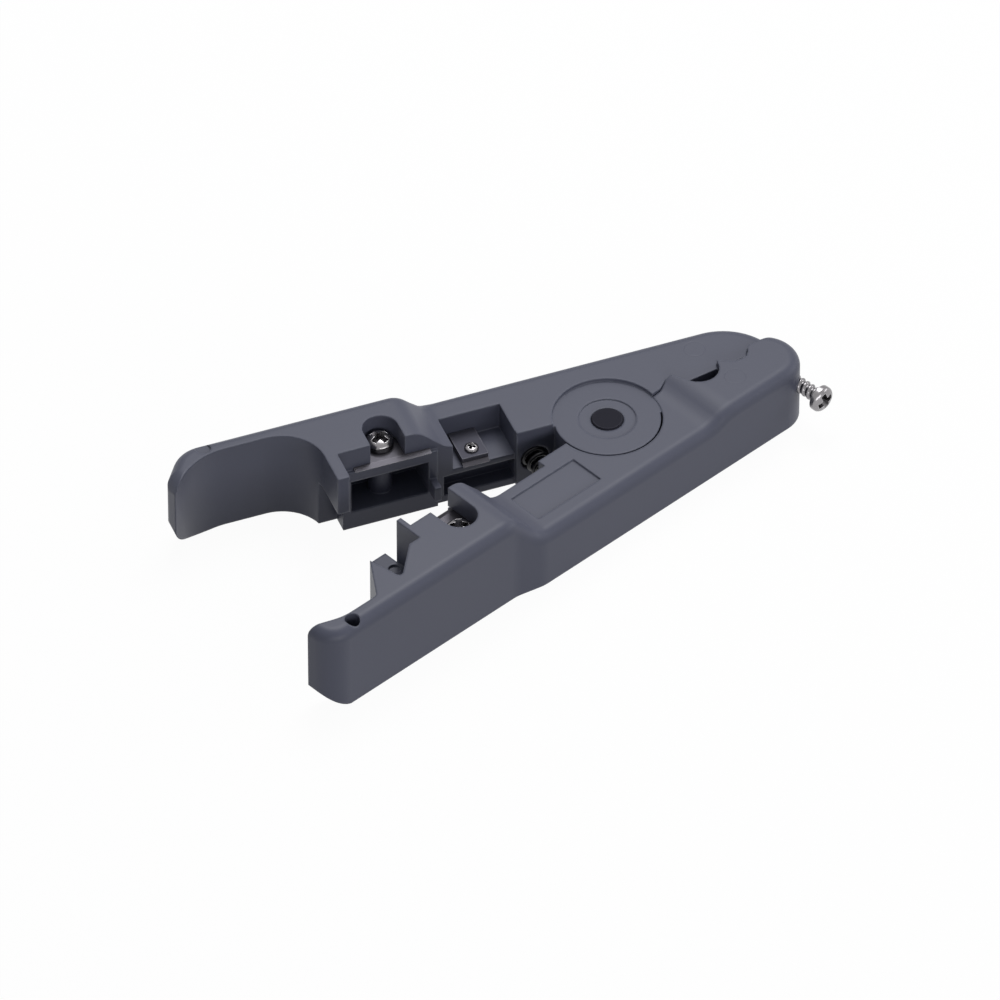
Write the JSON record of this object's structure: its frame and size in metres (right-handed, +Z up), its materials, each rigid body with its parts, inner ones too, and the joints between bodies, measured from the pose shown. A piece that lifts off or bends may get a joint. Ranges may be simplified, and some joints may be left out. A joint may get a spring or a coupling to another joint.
{
  "type": "cable stripper",
  "caption": "Hand tool with two sprung moulded arms on a pivot: finger recess, slitting blades, saw-toothed jaw, cutter pocket and nose jaws with a depth screw.",
  "frame": {"origin": "foot of the pivot pin on the flat underside, on the pivot axis", "axes": "+X from the pivot to the nose, halfway between the arms at rest, +Z up along the pivot"},
  "size_m": [0.1299, 0.0616, 0.02],
  "materials": {
    "grey_plastic": "fine moulded texture, bluish mid grey",
    "blackened_steel": "blackened, satin",
    "zinc_steel": "zinc plated, dull",
    "black_spring_wire": "black oxide wire, slightly oily",
    "blade_steel": "ground blade steel",
    "grey_plate": "grey phosphated plate, matte",
    "nickel_steel": "bright nickel plate"
  },
  "bodies": {
    "hook_side": {"hook_arm": "grey_plastic", "pivot_pin": "blackened_steel", "pivot_washer": "zinc_steel", "retaining_ring": "blackened_steel", "return_spring": "black_spring_wire", "slitting_blade": "blade_steel", "slitting_blade_screw": "nickel_steel", "cutter_blade": "blade_steel", "cutter_clamp": "grey_plate", "cutter_screw": "nickel_steel", "nose_blade": "blade_steel", "nose_blade_pins": "zinc_steel"},
    "thumb_side": {"thumb_arm": "grey_plastic", "jaw_blade": "blade_steel", "jaw_blade_screw": "nickel_steel"},
    "adjuster": {"depth_screw": "nickel_steel"}
  },
  "joints": [
    {"name": "arm_pivot", "type": "hinge", "parent": "hook_side", "child": "thumb_side", "pos_m": [0, 0, 0], "axis": [0, 0, 1], "range_deg": [-22, 0], "stiffness_Nm_per_rad": 0.12, "springref_deg": 20.05, "deforming": ["return_spring"]},
    {"name": "depth_screw_travel", "type": "slide", "parent": "thumb_side", "child": "adjuster", "axis": [0.225, -0.9744, 0], "range_m": [0, 0.003]}
  ]
}
